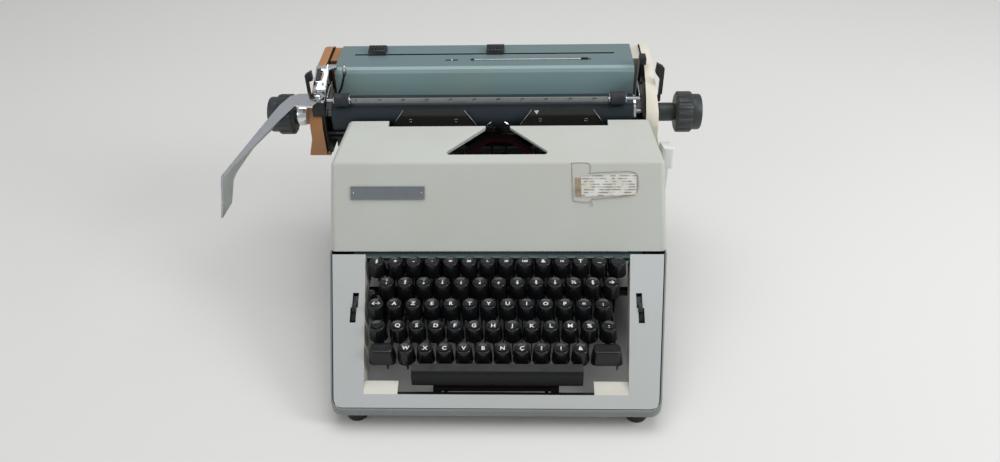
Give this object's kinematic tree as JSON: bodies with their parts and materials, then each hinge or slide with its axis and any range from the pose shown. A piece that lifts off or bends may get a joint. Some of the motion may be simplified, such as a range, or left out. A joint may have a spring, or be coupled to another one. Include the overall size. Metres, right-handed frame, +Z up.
{
  "type": "typewriter",
  "caption": "Desk typewriter with a round-key keyboard, lift-off hood, typebar basket, sliding carriage with platen, paper bail and return lever.",
  "frame": {"origin": "on the table, under the middle of the whole outline at rest", "axes": "+X to the typist's right along the carriage, +Y from the keyboard to the paper table, +Z up"},
  "size_m": [0.4841, 0.364, 0.25],
  "materials": {
    "shell_paint": "semi-matt light grey-beige",
    "surround_paint": "semi-gloss bluish grey",
    "panel_paint": "semi-matt grey-teal",
    "cover_plastic": "tan, moulded",
    "housing_plastic": "pale beige",
    "frame_steel": "dark painted steel",
    "bright_steel": "bright steel",
    "chrome": "polished",
    "key_plastic": "glossy black",
    "black_plastic": "black",
    "rubber": "blue-black",
    "foot_rubber": "black",
    "holder_metal": "dark and glossy",
    "reel_metal": "dark"
  },
  "bodies": {
    "machine": {"lower_shell": "shell_paint", "keyboard_surround": "surround_paint", "rear_cover": "shell_paint", "main_frame": "frame_steel", "rubber_feet": "foot_rubber", "brake_housing": "housing_plastic", "front_bracket": "frame_steel", "key_well_panel": "panel_paint", "key_stop_bar": "frame_steel", "key_pivot_rod": "bright_steel", "typebar_segment": "bright_steel", "typebars": "bright_steel", "type_guide": "bright_steel", "card_holders": "holder_metal", "carriage_rail": "bright_steel", "keys_row_low": "key_plastic", "keys_row_upper": "key_plastic", "keys_row_number": "key_plastic", "keys_row_tabulator": "key_plastic"},
    "hood": {"hood": "shell_paint"},
    "space_bar": {"space_bar": "key_plastic"},
    "shift": {"shift_keys": "key_plastic"},
    "shift_lock": {"shift_lock_key": "key_plastic"},
    "middle_typebar": {"typebar_middle": "bright_steel"},
    "ribbon_vibrator": {"ribbon_vibrator": "bright_steel"},
    "reel_left": {"ribbon_reel_left": "reel_metal"},
    "reel_right": {"ribbon_reel_right": "reel_metal"},
    "slide_left": {"control_slide_left": "black_plastic"},
    "slide_right": {"control_slide_right": "black_plastic"},
    "carriage": {"carriage_frame": "frame_steel", "paper_pan": "bright_steel", "end_cover_left": "cover_plastic", "end_cover_right": "cover_plastic", "paper_table": "panel_paint", "lever_bracket": "chrome"},
    "platen": {"platen": "rubber", "platen_knobs": "black_plastic"},
    "feed_front": {"feed_roller_front": "rubber"},
    "feed_rear": {"feed_roller_rear": "rubber"},
    "margin_left": {"margin_stop_left": "black_plastic"},
    "margin_right": {"margin_stop_right": "black_plastic"},
    "paper_support": {"paper_support": "chrome"},
    "paper_bail": {"paper_bail": "bright_steel"},
    "bail_rollers": {"bail_rollers": "rubber"},
    "return_lever": {"return_lever": "chrome"},
    "release_left": {"carriage_release_left": "black_plastic"},
    "release_right": {"carriage_release_right": "black_plastic"},
    "paper_release": {"paper_release_lever": "black_plastic"},
    "key_q": {"key_q": "key_plastic"},
    "key_s": {"key_s": "key_plastic"},
    "key_d": {"key_d": "key_plastic"},
    "key_f": {"key_f": "key_plastic"},
    "key_g": {"key_g": "key_plastic"},
    "key_h": {"key_h": "key_plastic"},
    "key_j": {"key_j": "key_plastic"},
    "key_k": {"key_k": "key_plastic"},
    "key_l": {"key_l": "key_plastic"},
    "key_m": {"key_m": "key_plastic"},
    "key_percent": {"key_percent": "key_plastic"},
    "key_colon": {"key_colon": "key_plastic"}
  },
  "joints": [
    {"name": "hood_lift", "type": "slide", "parent": "machine", "child": "hood", "axis": [0, -0.4983, 0.867], "range_m": [0, 0.018]},
    {"name": "key_q_press", "type": "hinge", "parent": "machine", "child": "key_q", "pos_m": [-0.0746, 0.112, 0.037], "axis": [1, 0, 0], "range_deg": [0, 3.5], "stiffness_Nm_per_rad": 2, "springref_deg": -2.86},
    {"name": "key_s_press", "type": "hinge", "parent": "machine", "child": "key_s", "pos_m": [-0.05555, 0.112, 0.037], "axis": [1, 0, 0], "range_deg": [0, 3.5], "stiffness_Nm_per_rad": 2, "springref_deg": -2.86},
    {"name": "key_d_press", "type": "hinge", "parent": "machine", "child": "key_d", "pos_m": [-0.0365, 0.112, 0.037], "axis": [1, 0, 0], "range_deg": [0, 3.5], "stiffness_Nm_per_rad": 2, "springref_deg": -2.86},
    {"name": "key_f_press", "type": "hinge", "parent": "machine", "child": "key_f", "pos_m": [-0.01745, 0.112, 0.037], "axis": [1, 0, 0], "range_deg": [0, 3.5], "stiffness_Nm_per_rad": 2, "springref_deg": -2.86},
    {"name": "key_g_press", "type": "hinge", "parent": "machine", "child": "key_g", "pos_m": [0.0016, 0.112, 0.037], "axis": [1, 0, 0], "range_deg": [0, 3.5], "stiffness_Nm_per_rad": 2, "springref_deg": -2.86},
    {"name": "key_h_press", "type": "hinge", "parent": "machine", "child": "key_h", "pos_m": [0.02065, 0.112, 0.037], "axis": [1, 0, 0], "range_deg": [0, 3.5], "stiffness_Nm_per_rad": 2, "springref_deg": -2.86},
    {"name": "key_j_press", "type": "hinge", "parent": "machine", "child": "key_j", "pos_m": [0.0397, 0.112, 0.037], "axis": [1, 0, 0], "range_deg": [0, 3.5], "stiffness_Nm_per_rad": 2, "springref_deg": -2.86},
    {"name": "key_k_press", "type": "hinge", "parent": "machine", "child": "key_k", "pos_m": [0.05875, 0.112, 0.037], "axis": [1, 0, 0], "range_deg": [0, 3.5], "stiffness_Nm_per_rad": 2, "springref_deg": -2.86},
    {"name": "key_l_press", "type": "hinge", "parent": "machine", "child": "key_l", "pos_m": [0.0778, 0.112, 0.037], "axis": [1, 0, 0], "range_deg": [0, 3.5], "stiffness_Nm_per_rad": 2, "springref_deg": -2.86},
    {"name": "key_m_press", "type": "hinge", "parent": "machine", "child": "key_m", "pos_m": [0.09685, 0.112, 0.037], "axis": [1, 0, 0], "range_deg": [0, 3.5], "stiffness_Nm_per_rad": 2, "springref_deg": -2.86},
    {"name": "key_percent_press", "type": "hinge", "parent": "machine", "child": "key_percent", "pos_m": [0.1159, 0.112, 0.037], "axis": [1, 0, 0], "range_deg": [0, 3.5], "stiffness_Nm_per_rad": 2, "springref_deg": -2.86},
    {"name": "key_colon_press", "type": "hinge", "parent": "machine", "child": "key_colon", "pos_m": [0.13495, 0.112, 0.037], "axis": [1, 0, 0], "range_deg": [0, 3.5], "stiffness_Nm_per_rad": 2, "springref_deg": -2.86},
    {"name": "space_bar_press", "type": "slide", "parent": "machine", "child": "space_bar", "axis": [0, 0, 1], "range_m": [-0.007, 0], "stiffness_N_per_m": 150, "springref_m": 0.004},
    {"name": "shift_press", "type": "hinge", "parent": "machine", "child": "shift", "pos_m": [0.0235, 0.112, 0.037], "axis": [1, 0, 0], "range_deg": [0, 3], "stiffness_Nm_per_rad": 4, "springref_deg": -3.44},
    {"name": "shift_lock_press", "type": "hinge", "parent": "shift", "child": "shift_lock", "pos_m": [-0.0948, 0.112, 0.037], "axis": [1, 0, 0], "range_deg": [0, 1.2], "stiffness_Nm_per_rad": 2, "springref_deg": -2.86},
    {"name": "control_slide_left", "type": "slide", "parent": "machine", "child": "slide_left", "axis": [0, 0.8556, 0.5177], "range_m": [-0.009, 0.009]},
    {"name": "control_slide_right", "type": "slide", "parent": "machine", "child": "slide_right", "axis": [0, 0.8556, 0.5177], "range_m": [-0.009, 0.009]},
    {"name": "typebar_swing", "type": "hinge", "parent": "machine", "child": "middle_typebar", "pos_m": [0.0235, 0.08376, 0.11351], "axis": [1, 0, 0], "range_deg": [-90, 0]},
    {"name": "ribbon_lift", "type": "slide", "parent": "machine", "child": "ribbon_vibrator", "axis": [0, -0.2079, 0.9781], "range_m": [0, 0.01]},
    {"name": "reel_turn_left", "type": "hinge", "parent": "machine", "child": "reel_left", "pos_m": [-0.0845, 0.032, 0.166], "axis": [0, 0, 1], "continuous": true},
    {"name": "reel_turn_right", "type": "hinge", "parent": "machine", "child": "reel_right", "pos_m": [0.1315, 0.032, 0.166], "axis": [0, 0, 1], "continuous": true},
    {"name": "carriage_travel", "type": "slide", "parent": "machine", "child": "carriage", "axis": [1, 0, 0], "range_m": [-0.13, 0.16]},
    {"name": "platen_turn", "type": "hinge", "parent": "carriage", "child": "platen", "pos_m": [0.007, 0.092, 0.195], "axis": [1, 0, 0], "continuous": true},
    {"name": "feed_turn_front", "type": "hinge", "parent": "carriage", "child": "feed_front", "pos_m": [0.007, 0.08519, 0.1696], "axis": [1, 0, 0], "continuous": true},
    {"name": "feed_turn_rear", "type": "hinge", "parent": "carriage", "child": "feed_rear", "pos_m": [0.007, 0.10311, 0.17116], "axis": [1, 0, 0], "continuous": true},
    {"name": "margin_left_set", "type": "slide", "parent": "carriage", "child": "margin_left", "axis": [1, 0, 0], "range_m": [-0.012, 0.05]},
    {"name": "margin_right_set", "type": "slide", "parent": "carriage", "child": "margin_right", "axis": [1, 0, 0], "range_m": [-0.05, 0.115]},
    {"name": "paper_support_fold", "type": "hinge", "parent": "carriage", "child": "paper_support", "pos_m": [0.118, 0.138, 0.2329], "axis": [0, 1, 0], "range_deg": [0, 80]},
    {"name": "paper_bail_lift", "type": "hinge", "parent": "carriage", "child": "paper_bail", "pos_m": [0.007, 0.108, 0.222], "axis": [1, 0, 0], "range_deg": [-60, 0]},
    {"name": "bail_roller_turn", "type": "hinge", "parent": "paper_bail", "child": "bail_rollers", "pos_m": [0.007, 0.079, 0.2192], "axis": [1, 0, 0], "continuous": true},
    {"name": "return_lever_swing", "type": "hinge", "parent": "carriage", "child": "return_lever", "pos_m": [-0.17, 0.08, 0.222], "axis": [0, 0, 1], "range_deg": [0, 40], "stiffness_Nm_per_rad": 0.3, "springref_deg": -17.19},
    {"name": "carriage_release_left_pull", "type": "hinge", "parent": "carriage", "child": "release_left", "pos_m": [-0.183, 0.098, 0.21], "axis": [1, 0, 0], "range_deg": [0, 15], "stiffness_Nm_per_rad": 0.2, "springref_deg": -5.73},
    {"name": "carriage_release_right_pull", "type": "hinge", "parent": "carriage", "child": "release_right", "pos_m": [0.197, 0.098, 0.21], "axis": [1, 0, 0], "range_deg": [0, 15], "stiffness_Nm_per_rad": 0.2, "springref_deg": -5.73},
    {"name": "paper_release_pull", "type": "hinge", "parent": "carriage", "child": "paper_release", "pos_m": [0.178, 0.125, 0.2005], "axis": [1, 0, 0], "range_deg": [0, 15]}
  ],
  "couplings": [
    {"joint": "typebar_swing", "follows": "key_h_press", "ratio": -25.7},
    {"joint": "ribbon_lift", "follows": "key_h_press", "m_per_rad": 0.1636},
    {"joint": "feed_turn_front", "follows": "platen_turn", "ratio": -3.3333},
    {"joint": "feed_turn_rear", "follows": "platen_turn", "ratio": -3.3333}
  ]
}
